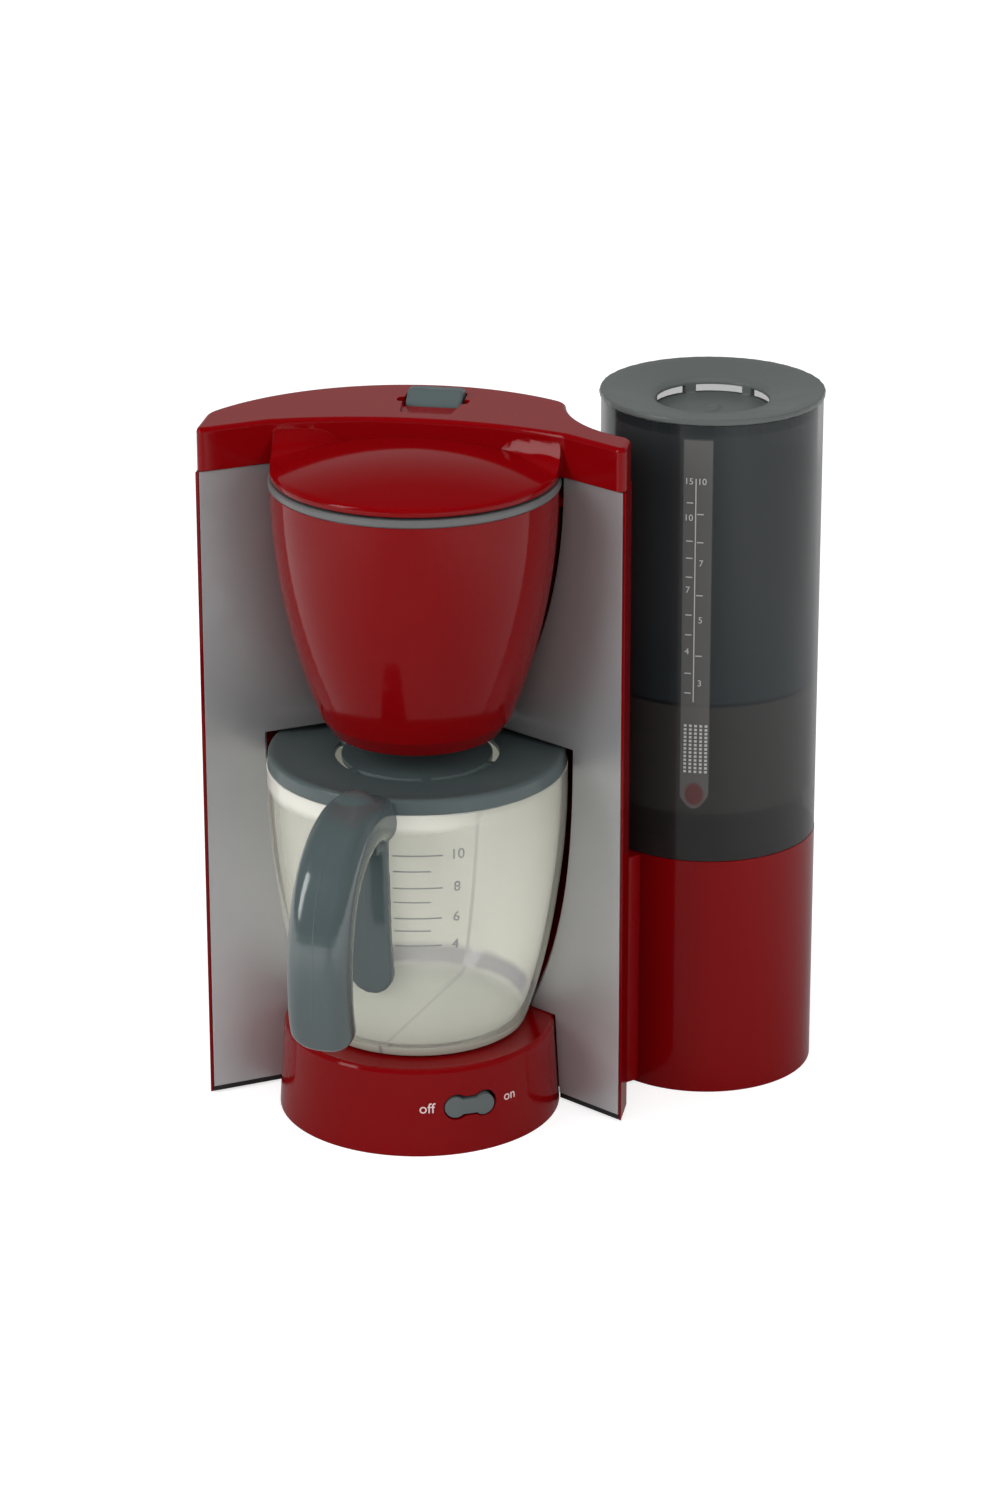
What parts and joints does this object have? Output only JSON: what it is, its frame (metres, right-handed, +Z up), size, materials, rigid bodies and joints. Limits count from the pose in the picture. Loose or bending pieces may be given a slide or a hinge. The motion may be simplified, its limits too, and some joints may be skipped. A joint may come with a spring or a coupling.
{
  "type": "toy coffee maker",
  "caption": "Toy drip coffee maker with a red V-fronted body, pull-out filter holder, glassy jug with handle, lift-off tank, push button and rocker switch.",
  "frame": {"origin": "centre of the overall box at floor level", "axes": "+Z up, the front with drum, jug and filter holder faces -Y, the tank stands towards +X"},
  "size_m": [0.1738, 0.1718, 0.21],
  "materials": {
    "red": "gloss",
    "silver": "satin metallic",
    "slate": "satin",
    "clear": "milky clear",
    "smoke": "smoke clear",
    "black": "matte",
    "steel": "satin"
  },
  "bodies": {
    "brewer": {"front_housing": "red", "rear_cover": "red", "base_plate": "black", "left_panel": "silver", "right_panel": "silver", "top_cap": "red", "drum_base": "red", "tank_housing": "red", "cover_screws": "steel", "plate_screws": "steel", "cap_screws": "steel", "housing_screws": "steel", "switch_axle": "steel", "button_spring": "steel"},
    "button": {"top_button": "slate", "button_clip": "black"},
    "rocker": {"switch_rocker": "slate"},
    "holder": {"filter_holder": "red", "filter_insert": "slate", "drip_plug": "slate"},
    "jug": {"jug_body": "clear", "jug_lid": "slate", "jug_handle": "slate"},
    "tank": {"water_tank": "smoke"},
    "lid": {"tank_lid": "slate"}
  },
  "joints": [
    {"name": "holder_slide", "type": "slide", "parent": "brewer", "child": "holder", "axis": [0, -1, 0], "range_m": [0, 0.09]},
    {"name": "jug_slide", "type": "slide", "parent": "brewer", "child": "jug", "axis": [0, -1, 0], "range_m": [0, 0.1]},
    {"name": "tank_lift", "type": "slide", "parent": "brewer", "child": "tank", "axis": [0, 0, 1], "range_m": [0, 0.045]},
    {"name": "tank_lid_lift", "type": "slide", "parent": "tank", "child": "lid", "axis": [0, 0, 1], "range_m": [0, 0.02]},
    {"name": "button_press", "type": "slide", "parent": "brewer", "child": "button", "axis": [0, 0, -1], "range_m": [0, 0.0025], "stiffness_N_per_m": 300, "springref_m": -0.002, "deforming": ["button_spring"]},
    {"name": "switch_rock", "type": "hinge", "parent": "brewer", "child": "rocker", "pos_m": [-0.00566, -0.02644, 0.0146], "axis": [0, 0, 1], "range_deg": [0, 10]}
  ]
}
